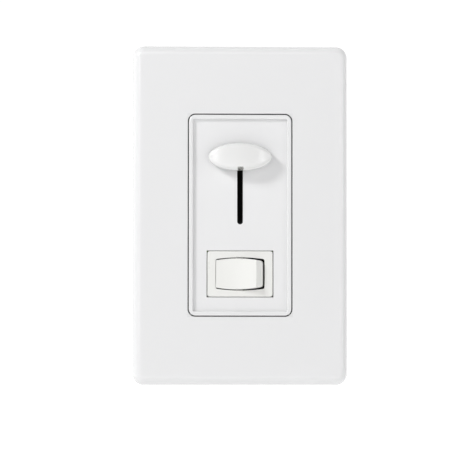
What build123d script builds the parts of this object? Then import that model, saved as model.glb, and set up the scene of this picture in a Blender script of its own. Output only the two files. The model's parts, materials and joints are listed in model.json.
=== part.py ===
"""Slide dimmer with a rocker switch, in a screwless wall plate.

Frame: +X right, +Z up, the front faces -Y. The wall's surface is the plane y = 0, and the
origin is the centre of the wall plate on that plane. Sizes are in millimetres. A depth
called f is a distance in front of the wall, and a negative f lies inside the wall box.
"""

import os
from math import cos, radians, sin

from build123d import *

os.makedirs("parts", exist_ok=True)

# ---- driving dimensions -------------------------------------------------------------------

# cover plate
PLATE_W = 75.2
PLATE_H = 118.9
PLATE_DEPTH = 6.8
PLATE_WALL = 1.8
PLATE_CORNER_R = 4.0
PLATE_EDGE_R = 3.0
OPENING_W = 36.6
OPENING_H = 71.1
OPENING_R = 2.6
OPENING_EDGE_R = 0.25
RIB_T = 1.2
PRY_NOTCH_W = 12.6
PRY_NOTCH_DEPTH = 1.4
CATCH_W = 6.0
CATCH_ZS = (-40.0, 0.0, 40.0)
# outline of a catch: inwards from the wall's inside, then back from the sub-plate's rear face
CATCH_PROFILE = ((-0.2, 0.1), (1.1, 0.1), (1.1, 0.5), (-0.2, 1.4))

# sub-plate that the cover snaps on to
SUBPLATE_W = 70.8
SUBPLATE_H = 114.5
SUBPLATE_T = 1.6
SUBPLATE_CORNER_R = 2.0
FLEX_SLOT_LENGTH = 14.0
FLEX_SLOT_W = 2.0
FLEX_SLOT_INSET = 4.0
HEAD_CLEARANCE_R = 3.9
LIP_W = 36.0
LIP_H = 70.5
LIP_R = 2.4
LIP_INNER_W = 33.0
LIP_INNER_H = 67.4
LIP_INNER_R = 0.5
LIP_FRONT = 7.0
LIP_EDGE_R = 0.4

# mounting strap, with the standard hole spacings of a wall device
YOKE_T = 1.6
YOKE_W = 44.0
YOKE_BODY_H = 82.0
YOKE_CORNER_R = 2.0
YOKE_H = 106.0
EAR_W = 30.0
EAR_CORNER_R = 5.0
WINDOW_FIT = 0.6
BOX_SCREW_Z = 83.34 / 2
PLATE_SCREW_Z = 96.8 / 2
THREAD_R = 1.75
TAPPED_R = 1.76
BOX_SLOT_W = 9.0
BOX_SLOT_H = 4.0
PLATE_SCREW_HOLE_R = 1.9
PLATE_SCREW_SINK_R = 3.6
RETAINER_W = 9.0
RETAINER_T = 0.4
GROUND_PLACE = (14.5, -37.0)

# recessed face of the dimmer
PANEL_W = 33.3
PANEL_H = 67.7
PANEL_FRONT = 5.9
PANEL_T = 2.0
PANEL_CORNER_R = 0.6
PANEL_FIT = 0.3
SKIRT_T = 1.5
SLOT_W = 2.05
SLOT_BOTTOM = -3.2
SLOT_TOP = 24.0
HOOK_ZS = (16.0, -22.0)
HOOK_W = 4.0
HOOK_SLOT_X = 15.65
HOOK_SLOT_W = 2.1
# outline of a hook: inwards from the panel's side, then into the wall from its surface
HOOK_PROFILE = (
    (SKIRT_T, -YOKE_T - 0.5),
    (0.2, -YOKE_T - 0.5),
    (0.2, 0.1),
    (-0.6, 0.1),
    (0.3, 2.2),
    (SKIRT_T, 2.2),
)
SEAL_W = 8.4
SEAL_T = 0.9

# rear housing
HOUSING_W = 42.0
HOUSING_H = 66.0
HOUSING_DEPTH = 27.0
HOUSING_WALL = 2.0
HOUSING_CORNER_R = 3.0
HOUSING_EDGE_R = 2.0
BOSS_X = 17.2
BOSS_Z = 29.2
BOSS_R = 2.8
BOSS_HOLE_R = 1.22
BOSS_HOLE_DEPTH = 12.0
CASE_SCREW_HOLE_R = 1.3
CASE_SCREW_SINK_R = 2.7
POST_W = 2.8
POST_H = 2.4

# slide control
KNOB_Z = 20.3
KNOB_HALF_W = 11.1
KNOB_HALF_H = 4.8
KNOB_BACK = 6.9
KNOB_FRONT = 11.3
KNOB_CROWN_R = 34.0
KNOB_RIM_R = 1.6
KNOB_NOTCH_H = 1.3
TRAVEL = 20.0
POT_Z = KNOB_Z - TRAVEL / 2
POT_W = 9.0
POT_LENGTH = 35.0
POT_DEPTH = 7.2
POT_SHEET = 0.8
POT_SCREW_SPACING = 30.5
POT_SCREW_HOLE_R = 1.3
POT_PIN_R = 0.4
POT_PIN_PLACES = ((-2.0, POT_Z - 15.5), (2.0, POT_Z - 15.5), (0.0, POT_Z + 15.5))
LEVER_WINDOW_W = 4.8
LEVER_T = 1.2
LEVER_H = 4.0
LEVER_HEAD_T = 1.9
LEVER_FRONT = 8.6
LEVER_REAR = 1.0
LEVER_HEAD_REACH = 2.7
CARRIAGE_W = 6.6
CARRIAGE_H = 6.4
CARRIAGE_T = 3.6
WIPER_W = 0.8
WIPER_XS = (-1.9, 1.1)
# outline of a wiper spring: into the wall from its surface, then up from the knob's centre
WIPER_PROFILE = (
    (4.6, -2.6),
    (4.6, 2.6),
    (4.85, 2.6),
    (6.25, -1.8),
    (6.05, -2.0),
    (4.85, 1.6),
    (4.85, -2.6),
)

# rocker switch
SWITCH_Z = -20.6
SWITCH_W = 22.9
SWITCH_H = 16.0
SWITCH_CORNER_R = 0.8
SWITCH_WALL = 1.2
SWITCH_FACE_T = 1.2
SWITCH_FIT_W = 0.5
SWITCH_FIT_H = 0.4
MOUTH_HALF_W = 8.65
MOUTH_HALF_H = 5.8
THROAT_HALF_W = 9.6
THROAT_HALF_H = 6.5
MOUTH_BOW = 0.6
SIDE_BOW = 0.12
MOUTH_CORNER_R = 0.7
FRAME_REAR = 3.0
BASE_REAR = 9.8
PIVOT_Y = 0.52
PIN_R = 1.2
PIN_FIT = 0.05
ROCKER_TILT = 10.0
ROCKER_HALF_W = 9.2
ROCKER_HALF_H = 5.45
ROCKER_BOW = 0.95
ROCKER_CORNER_R = 1.4
ROCKER_DISH = 0.6
CREST_U = 7.11
CREST_V = 7.77
FLANK_U = 9.0
FLANK_V = 5.4
SKIRT_V = 2.2
STEM_R = 2.3
STEM_BORE_R = 1.2
STEM_TOP_V = -2.2
EAR_R = 2.0
EAR_INNER_Z = 4.1
EAR_T = 1.2
PIN_INNER_Z = 5.2
PIN_LENGTH = 2.5
PLUNGER_R = 1.1
PLUNGER_TOP_V = -5.1
PLUNGER_LENGTH = 4.1
SPRING_TOP_V = -1.0
SPRING_LENGTH = 4.8
SPRING_INNER_R = 0.65
LEVER_TILT = 8.0
SEESAW_Y = 6.7
FULCRUM_R = 0.4
SEESAW_GAP = 0.5
SEESAW_LENGTH = 14.0
SEESAW_T = 0.5
SEESAW_HALF_H = 2.0
CONTACT_X = 5.6
CONTACT_R = 1.2
LEVER_CONTACT_T = 0.6
FIXED_CONTACT_T = 0.4
FLOOR_Y = BASE_REAR - SWITCH_WALL
FIXED_CONTACT_Y = FLOOR_Y - 0.8
STRIP_T = 0.4
STRIP_H = 4.4
WAY_STRIP_W = 5.0
COMMON_STRIP_W = 4.0
SWITCH_PIN_XS = (-6.0, 0.0, 6.0)
SWITCH_PIN_W = 0.8
SWITCH_PIN_H = 1.6
PIN_SLOT_FIT = 0.1

# circuit board
BOARD_W = 36.0
BOARD_H = 50.0
BOARD_FRONT = 9.9
BOARD_T = 1.6
BOARD_REAR = BOARD_FRONT + BOARD_T
BOARD_CORNER_R = 1.0
SOLDER_TAIL = 0.8

# parts on the circuit board, and the switching semiconductor that the strap cools
TRIAC_X = 10.5
TRIAC_SCREW_Z = 2.8
TRIAC_HOLE_R = 1.6
TRIAC_TAB_Z = -2.25
TRIAC_TAB_W = 10.0
TRIAC_TAB_H = 15.5
TRIAC_TAB_HOLE_R = 1.8
TRIAC_TAB_BACK = 1.6
TRIAC_BODY_Z = -5.5
TRIAC_BODY_H = 9.0
TRIAC_BODY_T = 3.2
TRIAC_LEAD_T = 0.8
TRIAC_LEAD_Z = -11.3
TRIAC_LEAD_XS = (TRIAC_X - 2.54, TRIAC_X, TRIAC_X + 2.54)
# outline of a lead: into the wall from its surface, then the height
TRIAC_LEAD_PROFILE = (
    (2.7, -10.0),
    (3.3, -10.0),
    (3.3, TRIAC_LEAD_Z + 0.3),
    (BOARD_REAR + SOLDER_TAIL, TRIAC_LEAD_Z + 0.3),
    (BOARD_REAR + SOLDER_TAIL, TRIAC_LEAD_Z - 0.3),
    (2.7, TRIAC_LEAD_Z - 0.3),
)
PAD_T = 0.3
PAD_W = 11.0
PAD_H = 16.0
NUT_R = 3.0
NUT_T = 2.4
NUT_BORE_R = 1.51
CHOKE_PLACE = (-3.0, 9.5)
CORE_OUTER_R = 9.4
CORE_INNER_R = 5.2
CORE_T = 7.6
CORE_EDGE_R = 0.8
CORE_STAND = 2.0
WIRE_T = 1.2
FILTER_PLACE = (-2.0, -15.2)
FILTER_W = 17.5
FILTER_H = 8.0
FILTER_T = 12.5
FILTER_EDGE_R = 0.6
TIMING_PLACES = ((13.0, 5.5), (13.0, 10.5))
TIMING_W = 7.2
TIMING_H = 3.0
TIMING_T = 8.0
TIMING_EDGE_R = 0.4
RESISTOR_PLACES = ((-6.0, -9.2), (-6.0, -6.2), (-6.0, -3.2))
DIAC_PLACE = (12.5, 15.5)
VARISTOR_X = 12.5
VARISTOR_Z = -4.0
VARISTOR_R = 5.0
VARISTOR_T = 3.6
VARISTOR_STAND = 1.6
VARISTOR_LEAD_R = 0.35
VARISTOR_LEAD_SPACING = 5.0
VARISTOR_LEAD_LENGTH = 3.5

# line and load terminals: side of the housing and height of each
TERMINAL_Y = 17.0
TRAVELLER_PLACES = ((-1, 14.0), (-1, -14.0))
COMMON_PLACES = ((1, -14.0),)
ALL_PLACES = TRAVELLER_PLACES + COMMON_PLACES
HOUSING_INNER_X = HOUSING_W / 2 - HOUSING_WALL
RECESS_W = 10.6
RECESS_H = 9.0
RECESS_DEPTH = 1.0
SCREW_HOLE_R = 1.9
SCREW_HOLE_DEPTH = 3.0
CLAMP_W = 9.6
CLAMP_H = 8.2
CLAMP_HOLE_R = 1.85
CLAMP_CORNER_R = 0.6
TAB_T = 1.4
TAB_H = 8.0
TAB_REAR = TERMINAL_Y + 4.0
TAB_FOOT = 4.8
TAB_FOOT_T = 1.0


# ---- helpers ------------------------------------------------------------------------------


def front(f):
    """The plane f mm in front of the wall. Its normal points into the room."""
    return Plane.XZ.offset(f)


def behind(y):
    """The plane y mm inside the wall. Its normal points into the wall, and its own Y is down."""
    return Plane(origin=(0, y, 0), x_dir=(1, 0, 0), z_dir=(0, 1, 0))


def export(builder, name):
    """Label a finished piece and write it as its own STEP file."""
    builder.part.label = name
    export_step(builder.part, f"parts/{name}.step")


def barrel_outline(half_w, half_h, bow, side_bow, corner_r):
    """A rectangle whose sides swell outwards, with rounded corners."""
    x0 = half_w - side_bow
    y0 = half_h - bow
    with BuildSketch() as outline:
        with BuildLine():
            ThreePointArc((-x0, y0), (0, half_h), (x0, y0))
            ThreePointArc((x0, y0), (half_w, 0), (x0, -y0))
            ThreePointArc((x0, -y0), (0, -half_h), (-x0, -y0))
            ThreePointArc((-x0, -y0), (-half_w, 0), (-x0, y0))
        make_face()
        fillet(outline.vertices(), corner_r)
    return outline.sketch


def pan_screw(head_r, head_h, shank_r, length, neck_r=0.0, neck_length=0.0):
    """A pan-head screw along Z: the head stands on the origin plane and the shank hangs below.

    A neck, where there is one, is the thinner unthreaded stretch under the head.
    """
    with BuildPart() as screw:
        Cylinder(head_r, head_h, align=(Align.CENTER, Align.CENTER, Align.MIN))
        fillet(screw.edges().sort_by(Axis.Z)[-1], head_h * 0.45)
        if neck_length:
            Cylinder(neck_r, neck_length, align=(Align.CENTER, Align.CENTER, Align.MAX))
        with Locations((0, 0, -neck_length)):
            Cylinder(shank_r, length - neck_length, align=(Align.CENTER, Align.CENTER, Align.MAX))
        chamfer(screw.edges().sort_by(Axis.Z)[0], shank_r * 0.25)
        with Locations((0, 0, head_h)):
            Box(head_r * 1.25, head_h * 0.3, head_h * 1.1, mode=Mode.SUBTRACT)
            Box(head_h * 0.3, head_r * 1.25, head_h * 1.1, mode=Mode.SUBTRACT)
    return screw.part


def flat_screw(head_r, head_h, shank_r, length):
    """A countersunk screw along Z: its flat top lies on the origin plane."""
    with BuildPart() as screw:
        with BuildSketch(Plane.XZ):
            with BuildLine():
                Polyline(
                    (0, 0),
                    (head_r, 0),
                    (head_r, -head_h * 0.15),
                    (shank_r, -head_h),
                    (shank_r, -length + shank_r * 0.3),
                    (shank_r * 0.7, -length),
                    (0, -length),
                    close=True,
                )
            make_face()
        revolve(axis=Axis.Z)
        Box(head_r * 1.7, head_h * 0.35, head_h * 0.9, mode=Mode.SUBTRACT)
    return screw.part


def axial_part(body_r, body_length, lead_span):
    """A two-lead tubular component along X, its body standing on bent leads above the XY plane."""
    lead_r = 0.3
    height = body_r + 0.3
    with BuildPart() as component:
        with BuildSketch(Plane.YZ.offset(-body_length / 2)):
            with Locations((0, height)):
                Circle(body_r)
        extrude(amount=body_length)
        fillet(component.edges().filter_by(GeomType.CIRCLE), body_r * 0.35)
        with BuildSketch(Plane.YZ.offset(-lead_span / 2 - lead_r)):
            with Locations((0, height)):
                Circle(lead_r)
        extrude(amount=lead_span + 2 * lead_r)
        with Locations((-lead_span / 2, 0), (lead_span / 2, 0)):
            Cylinder(lead_r, height, align=(Align.CENTER, Align.CENTER, Align.MIN))
    return component.part


# ---- wall plate ---------------------------------------------------------------------------

with BuildPart() as cover_plate:
    with BuildSketch(front(0)):
        RectangleRounded(PLATE_W, PLATE_H, PLATE_CORNER_R)
    extrude(amount=PLATE_DEPTH)
    fillet(cover_plate.faces().sort_by(Axis.Y)[0].edges(), PLATE_EDGE_R)
    with BuildSketch(front(0)):
        RectangleRounded(
            PLATE_W - 2 * PLATE_WALL, PLATE_H - 2 * PLATE_WALL, PLATE_CORNER_R - PLATE_WALL
        )
    extrude(amount=PLATE_DEPTH - PLATE_WALL, mode=Mode.SUBTRACT)
    # stiffening ribs behind the face, beside the opening
    rib_x = OPENING_W / 2 + RIB_T
    with BuildSketch(front(PLATE_DEPTH - PLATE_WALL)):
        with Locations((rib_x, 0), (-rib_x, 0)):
            Rectangle(RIB_T, PLATE_H - 2 * PLATE_WALL)
    extrude(amount=-RIB_T)
    with BuildSketch(front(0)):
        RectangleRounded(OPENING_W, OPENING_H, OPENING_R)
    extrude(amount=PLATE_DEPTH, mode=Mode.SUBTRACT)
    fillet(cover_plate.faces().sort_by(Axis.Y)[0].inner_wires()[0].edges(), OPENING_EDGE_R)
    # notch in the lower rim for prying the cover off
    with BuildSketch(front(0)):
        with Locations((0, -PLATE_H / 2)):
            Rectangle(PRY_NOTCH_W, 4 * PLATE_WALL)
    extrude(amount=PRY_NOTCH_DEPTH, mode=Mode.SUBTRACT)
    # catches that snap behind the sub-plate's long edges
    inner_x = PLATE_W / 2 - PLATE_WALL
    for side in (-1, 1):
        catch = [(side * (inner_x - across), back - YOKE_T) for across, back in CATCH_PROFILE]
        for catch_z in CATCH_ZS:
            with BuildSketch(Plane.XY.offset(catch_z - CATCH_W / 2)):
                with BuildLine():
                    Polyline(*catch, close=True)
                make_face()
            extrude(amount=CATCH_W)
export(cover_plate, "cover_plate")

with BuildPart() as mounting_subplate:
    with BuildSketch(front(YOKE_T)):
        RectangleRounded(SUBPLATE_W, SUBPLATE_H, SUBPLATE_CORNER_R)
    extrude(amount=SUBPLATE_T)
    with BuildSketch(front(YOKE_T)):
        RectangleRounded(LIP_W, LIP_H, LIP_R)
    extrude(amount=LIP_FRONT - YOKE_T)
    with BuildSketch(front(YOKE_T)):
        RectangleRounded(LIP_INNER_W, LIP_INNER_H, LIP_INNER_R)
    extrude(amount=LIP_FRONT - YOKE_T, mode=Mode.SUBTRACT)
    fillet(mounting_subplate.faces().sort_by(Axis.Y)[0].edges(), LIP_EDGE_R)
    # rebate that lets the panel stand just under the lip
    with BuildSketch(front(YOKE_T)):
        RectangleRounded(PANEL_W + PANEL_FIT, PANEL_H + PANEL_FIT, PANEL_CORNER_R + PANEL_FIT)
    extrude(amount=PANEL_FRONT + 0.05 - YOKE_T, mode=Mode.SUBTRACT)
    # flex slots beside the catches, and clearance round the box screws' heads
    with BuildSketch(front(YOKE_T)):
        with GridLocations(SUBPLATE_W - 2 * FLEX_SLOT_INSET, 2 * CATCH_ZS[-1], 2, 2):
            SlotOverall(FLEX_SLOT_LENGTH, FLEX_SLOT_W, rotation=90)
        with Locations((0, BOX_SCREW_Z), (0, -BOX_SCREW_Z)):
            Circle(HEAD_CLEARANCE_R)
    extrude(amount=SUBPLATE_T, mode=Mode.SUBTRACT)
    with Locations(front(YOKE_T + SUBPLATE_T)):
        with Locations((0, PLATE_SCREW_Z), (0, -PLATE_SCREW_Z)):
            CounterSinkHole(
                PLATE_SCREW_HOLE_R, PLATE_SCREW_SINK_R, depth=SUBPLATE_T, counter_sink_angle=82
            )
export(mounting_subplate, "mounting_subplate")

plate_screw = flat_screw(head_r=3.3, head_h=1.55, shank_r=1.74, length=9.0)
with BuildPart() as subplate_screws:
    with Locations(front(YOKE_T + SUBPLATE_T)):
        with Locations((0, PLATE_SCREW_Z), (0, -PLATE_SCREW_Z)):
            add(plate_screw)
export(subplate_screws, "subplate_screws")

# ---- strap and its fasteners --------------------------------------------------------------

with BuildPart() as yoke:
    with BuildSketch(front(0)):
        RectangleRounded(YOKE_W, YOKE_BODY_H, YOKE_CORNER_R)
        RectangleRounded(EAR_W, YOKE_H, EAR_CORNER_R)
        # window for the slide lever
        with Locations((0, POT_Z)):
            Rectangle(LEVER_WINDOW_W, TRAVEL + LEVER_H + 3.0, mode=Mode.SUBTRACT)
            with GridLocations(0, POT_SCREW_SPACING, 1, 2):
                Circle(POT_SCREW_HOLE_R, mode=Mode.SUBTRACT)
        # window for the rocker switch
        with Locations((0, SWITCH_Z)):
            Rectangle(SWITCH_W + WINDOW_FIT, SWITCH_H + WINDOW_FIT, mode=Mode.SUBTRACT)
        # slots for the panel's hooks
        for hook_z in HOOK_ZS:
            with Locations((-HOOK_SLOT_X, hook_z), (HOOK_SLOT_X, hook_z)):
                Rectangle(HOOK_SLOT_W, HOOK_W + WINDOW_FIT, mode=Mode.SUBTRACT)
        with Locations((0, BOX_SCREW_Z), (0, -BOX_SCREW_Z)):
            SlotOverall(BOX_SLOT_W, BOX_SLOT_H, mode=Mode.SUBTRACT)
        with Locations((0, PLATE_SCREW_Z), (0, -PLATE_SCREW_Z)):
            Circle(TAPPED_R, mode=Mode.SUBTRACT)
        with Locations((TRIAC_X, TRIAC_SCREW_Z)):
            Circle(TRIAC_HOLE_R, mode=Mode.SUBTRACT)
        with Locations(GROUND_PLACE):
            Circle(TAPPED_R, mode=Mode.SUBTRACT)
    extrude(amount=YOKE_T)
    with Locations(front(YOKE_T)):
        with GridLocations(2 * BOSS_X, 2 * BOSS_Z, 2, 2):
            CounterSinkHole(
                CASE_SCREW_HOLE_R, CASE_SCREW_SINK_R, depth=YOKE_T, counter_sink_angle=90
            )
export(yoke, "yoke")

NECK_R = 1.45
box_screw = pan_screw(
    head_r=3.3,
    head_h=1.8,
    shank_r=THREAD_R,
    length=25.0,
    neck_r=NECK_R,
    neck_length=YOKE_T + RETAINER_T,
)
with BuildPart() as device_screws:
    with Locations(front(YOKE_T)):
        with Locations((0, BOX_SCREW_Z), (0, -BOX_SCREW_Z)):
            add(box_screw)
export(device_screws, "device_screws")

# fibre squares behind the strap that keep the box screws from falling out
with BuildPart() as retaining_washers:
    with BuildSketch(front(0)):
        with Locations((0, BOX_SCREW_Z), (0, -BOX_SCREW_Z)):
            RectangleRounded(RETAINER_W, RETAINER_W, 1.0)
            Circle(NECK_R + 0.05, mode=Mode.SUBTRACT)
    extrude(amount=-RETAINER_T)
export(retaining_washers, "retaining_washers")

earth_screw = pan_screw(head_r=3.6, head_h=2.2, shank_r=1.74, length=YOKE_T)
with BuildPart() as ground_screw:
    with Locations(behind(0)):
        with Locations((GROUND_PLACE[0], -GROUND_PLACE[1])):
            add(earth_screw)
export(ground_screw, "ground_screw")

# ---- recessed face ------------------------------------------------------------------------

with BuildPart() as front_panel:
    with BuildSketch(front(YOKE_T)):
        RectangleRounded(PANEL_W, PANEL_H, PANEL_CORNER_R)
    extrude(amount=PANEL_FRONT - YOKE_T)
    with BuildSketch(front(YOKE_T)):
        Rectangle(PANEL_W - 2 * SKIRT_T, PANEL_H - 2 * SKIRT_T)
    extrude(amount=PANEL_FRONT - PANEL_T - YOKE_T, mode=Mode.SUBTRACT)
    with BuildSketch(front(PANEL_FRONT)):
        with Locations((0, (SLOT_TOP + SLOT_BOTTOM) / 2)):
            SlotOverall(SLOT_TOP - SLOT_BOTTOM, SLOT_W, rotation=90)
        with Locations((0, SWITCH_Z)):
            Rectangle(SWITCH_W + SWITCH_FIT_W, SWITCH_H + SWITCH_FIT_H)
    extrude(amount=-PANEL_T, mode=Mode.SUBTRACT)
    # hooks that reach through the strap and snap behind it
    for side in (-1, 1):
        hook = [(side * (PANEL_W / 2 - across), back) for across, back in HOOK_PROFILE]
        for hook_z in HOOK_ZS:
            with BuildSketch(Plane.XY.offset(hook_z - HOOK_W / 2)):
                with BuildLine():
                    Polyline(*hook, close=True)
                make_face()
            extrude(amount=HOOK_W)
export(front_panel, "front_panel")

with BuildPart() as dust_seal:
    with BuildSketch(front(PANEL_FRONT - PANEL_T)):
        with Locations((0, POT_Z)):
            Rectangle(SEAL_W, TRAVEL + 12.0)
            Rectangle(LEVER_T + 0.4, TRAVEL + LEVER_H + 1.0, mode=Mode.SUBTRACT)
    extrude(amount=-SEAL_T)
export(dust_seal, "dust_seal")

# ---- rear housing -------------------------------------------------------------------------

with BuildPart() as rear_housing:
    with BuildSketch(front(0)):
        RectangleRounded(HOUSING_W, HOUSING_H, HOUSING_CORNER_R)
    extrude(amount=-HOUSING_DEPTH)
    fillet(rear_housing.faces().sort_by(Axis.Y)[-1].edges(), HOUSING_EDGE_R)
    with BuildSketch(front(0)):
        RectangleRounded(HOUSING_W - 2 * HOUSING_WALL, HOUSING_H - 2 * HOUSING_WALL, 1.0)
    extrude(amount=-(HOUSING_DEPTH - HOUSING_WALL), mode=Mode.SUBTRACT)
    # screw bosses in the corners, and posts that the circuit board rests on
    with BuildSketch(front(0)):
        with GridLocations(2 * BOSS_X, 2 * BOSS_Z, 2, 2):
            Circle(BOSS_R)
    extrude(amount=-(HOUSING_DEPTH - HOUSING_WALL))
    with BuildSketch(front(-BOARD_REAR)):
        with GridLocations(BOARD_W - 0.6, BOARD_H - 2.4, 2, 2):
            Rectangle(POST_W, POST_H)
    extrude(amount=-(HOUSING_DEPTH - HOUSING_WALL - BOARD_REAR))
    with BuildSketch(front(0)):
        with GridLocations(2 * BOSS_X, 2 * BOSS_Z, 2, 2):
            Circle(BOSS_HOLE_R)
    extrude(amount=-BOSS_HOLE_DEPTH, mode=Mode.SUBTRACT)
    # recess and hole of each side terminal
    for side, height in ALL_PLACES:
        with BuildSketch(Plane.YZ.offset(side * HOUSING_W / 2)):
            with Locations((TERMINAL_Y, height)):
                Rectangle(RECESS_W, RECESS_H)
        extrude(amount=-side * RECESS_DEPTH, mode=Mode.SUBTRACT)
        with BuildSketch(Plane.YZ.offset(side * HOUSING_W / 2)):
            with Locations((TERMINAL_Y, height)):
                Circle(SCREW_HOLE_R)
        extrude(amount=-side * SCREW_HOLE_DEPTH, mode=Mode.SUBTRACT)
export(rear_housing, "rear_housing")

case_screw = flat_screw(head_r=2.4, head_h=1.2, shank_r=1.2, length=10.0)
with BuildPart() as housing_screws:
    with Locations(front(YOKE_T)):
        with GridLocations(2 * BOSS_X, 2 * BOSS_Z, 2, 2):
            add(case_screw)
export(housing_screws, "housing_screws")

# ---- slide control ------------------------------------------------------------------------

with BuildPart() as slider_knob:
    with BuildSketch(front(KNOB_BACK)):
        with Locations((0, KNOB_Z)):
            Ellipse(KNOB_HALF_W, KNOB_HALF_H)
    extrude(amount=2 * (KNOB_FRONT - KNOB_BACK))
    with Locations((0, -(KNOB_FRONT - KNOB_CROWN_R), KNOB_Z)):
        Sphere(KNOB_CROWN_R, mode=Mode.INTERSECT)
    fillet(slider_knob.edges().group_by(Axis.Y)[0], KNOB_RIM_R)
    # pocket for the lever's head, open at the lower rim
    with BuildSketch(front(KNOB_BACK)):
        with Locations((0, KNOB_Z - LEVER_HEAD_REACH / 2 - 0.05)):
            Rectangle(LEVER_HEAD_T, LEVER_H + LEVER_HEAD_REACH + 0.1)
    extrude(amount=LEVER_FRONT - KNOB_BACK, mode=Mode.SUBTRACT)
    with BuildSketch(front(KNOB_BACK)):
        with Locations((0, KNOB_Z - KNOB_HALF_H)):
            Rectangle(LEVER_HEAD_T + 0.1, 2 * KNOB_NOTCH_H)
    extrude(amount=KNOB_FRONT - KNOB_BACK, mode=Mode.SUBTRACT)
export(slider_knob, "slider_knob")

with BuildPart() as slider_lever:
    with BuildSketch(front(-LEVER_REAR)):
        with Locations((0, KNOB_Z)):
            Rectangle(LEVER_T, LEVER_H)
    extrude(amount=LEVER_FRONT + LEVER_REAR)
    with BuildSketch(front(KNOB_BACK + 0.3)):
        with Locations((0, KNOB_Z - LEVER_HEAD_REACH / 2)):
            Rectangle(LEVER_HEAD_T, LEVER_H + LEVER_HEAD_REACH)
    extrude(amount=LEVER_FRONT - KNOB_BACK - 0.3)
export(slider_lever, "slider_lever")

with BuildPart() as wiper_carriage:
    with BuildSketch(front(-LEVER_REAR)):
        with Locations((0, KNOB_Z)):
            RectangleRounded(CARRIAGE_W, CARRIAGE_H, 0.5)
    extrude(amount=-CARRIAGE_T)
export(wiper_carriage, "wiper_carriage")

with BuildPart() as wiper_contacts:
    wiper = [(back, KNOB_Z + rise) for back, rise in WIPER_PROFILE]
    for wiper_x in WIPER_XS:
        with BuildSketch(Plane.YZ.offset(wiper_x)):
            with BuildLine():
                Polyline(*wiper, close=True)
            make_face()
        extrude(amount=WIPER_W)
export(wiper_contacts, "wiper_contacts")

with BuildPart() as pot_case:
    with BuildSketch(front(0)):
        with Locations((0, POT_Z)):
            RectangleRounded(POT_W, POT_LENGTH, 0.6)
    extrude(amount=-POT_DEPTH)
    with BuildSketch(front(-POT_SHEET)):
        with Locations((0, POT_Z)):
            Rectangle(POT_W - 2 * POT_SHEET, POT_LENGTH - 2 * POT_SHEET)
    extrude(amount=-(POT_DEPTH - POT_SHEET), mode=Mode.SUBTRACT)
    with BuildSketch(front(0)):
        with Locations((0, POT_Z)):
            Rectangle(2.4, TRAVEL + LEVER_H + 1.6)
            with GridLocations(0, POT_SCREW_SPACING, 1, 2):
                Circle(1.25)
    extrude(amount=-POT_SHEET, mode=Mode.SUBTRACT)
export(pot_case, "pot_case")

with BuildPart() as resistive_track:
    with BuildSketch(front(-POT_DEPTH)):
        with Locations((0, POT_Z)):
            Rectangle(POT_W - 2 * POT_SHEET, POT_LENGTH - 2 * POT_SHEET)
    extrude(amount=POT_SHEET)
export(resistive_track, "resistive_track")

with BuildPart() as pot_pins:
    with BuildSketch(front(-POT_DEPTH)):
        with Locations(*POT_PIN_PLACES):
            Circle(POT_PIN_R)
    extrude(amount=-(BOARD_REAR + SOLDER_TAIL - POT_DEPTH))
export(pot_pins, "pot_pins")

pot_screw = pan_screw(head_r=2.1, head_h=1.2, shank_r=1.23, length=4.0)
with BuildPart() as pot_screws:
    with Locations(front(YOKE_T)):
        with Locations((0, POT_Z)):
            with GridLocations(0, POT_SCREW_SPACING, 1, 2):
                add(pot_screw)
export(pot_screws, "pot_screws")

# ---- rocker switch ------------------------------------------------------------------------

frame_mouth = barrel_outline(MOUTH_HALF_W, MOUTH_HALF_H, MOUTH_BOW, SIDE_BOW, MOUTH_CORNER_R)
frame_throat = barrel_outline(THROAT_HALF_W, THROAT_HALF_H, MOUTH_BOW, SIDE_BOW, MOUTH_CORNER_R)

with BuildPart() as switch_frame:
    with BuildSketch(front(PANEL_FRONT)):
        with Locations((0, SWITCH_Z)):
            RectangleRounded(SWITCH_W, SWITCH_H, SWITCH_CORNER_R)
    extrude(amount=-(PANEL_FRONT + FRAME_REAR))
    fillet(switch_frame.faces().sort_by(Axis.Y)[0].edges(), 0.15)
    with BuildSketch(front(-FRAME_REAR)):
        with Locations((0, SWITCH_Z)):
            Rectangle(SWITCH_W - 2 * SWITCH_WALL, SWITCH_H - 2 * SWITCH_WALL)
    extrude(amount=FRAME_REAR + PANEL_FRONT - SWITCH_FACE_T, mode=Mode.SUBTRACT)
    with BuildSketch(front(PANEL_FRONT)):
        with Locations((0, SWITCH_Z)):
            add(frame_mouth)
    with BuildSketch(front(PANEL_FRONT - SWITCH_FACE_T)):
        with Locations((0, SWITCH_Z)):
            add(frame_throat)
    loft(mode=Mode.SUBTRACT)
    # bearing holes of the rocker's pivot pins
    with BuildSketch(Plane.XY.offset(SWITCH_Z - SWITCH_H / 2)):
        with Locations((0, PIVOT_Y)):
            Circle(PIN_R + PIN_FIT)
    extrude(amount=SWITCH_H, mode=Mode.SUBTRACT)
export(switch_frame, "switch_frame")

# The rocker is drawn in its own directions: u along its length, v out of its face.
# Its right end stands out of the bezel by the tilt.
tilt_c = cos(radians(ROCKER_TILT))
tilt_s = sin(radians(ROCKER_TILT))
rocker_side = Plane(origin=(0, PIVOT_Y, SWITCH_Z), x_dir=(tilt_c, -tilt_s, 0), z_dir=(0, 0, 1))
rocker_face = Plane(
    origin=(0, PIVOT_Y, SWITCH_Z), x_dir=(tilt_c, -tilt_s, 0), z_dir=(-tilt_s, -tilt_c, 0)
)
rocker_outline = barrel_outline(
    ROCKER_HALF_W, ROCKER_HALF_H, ROCKER_BOW, SIDE_BOW, ROCKER_CORNER_R
)

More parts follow.
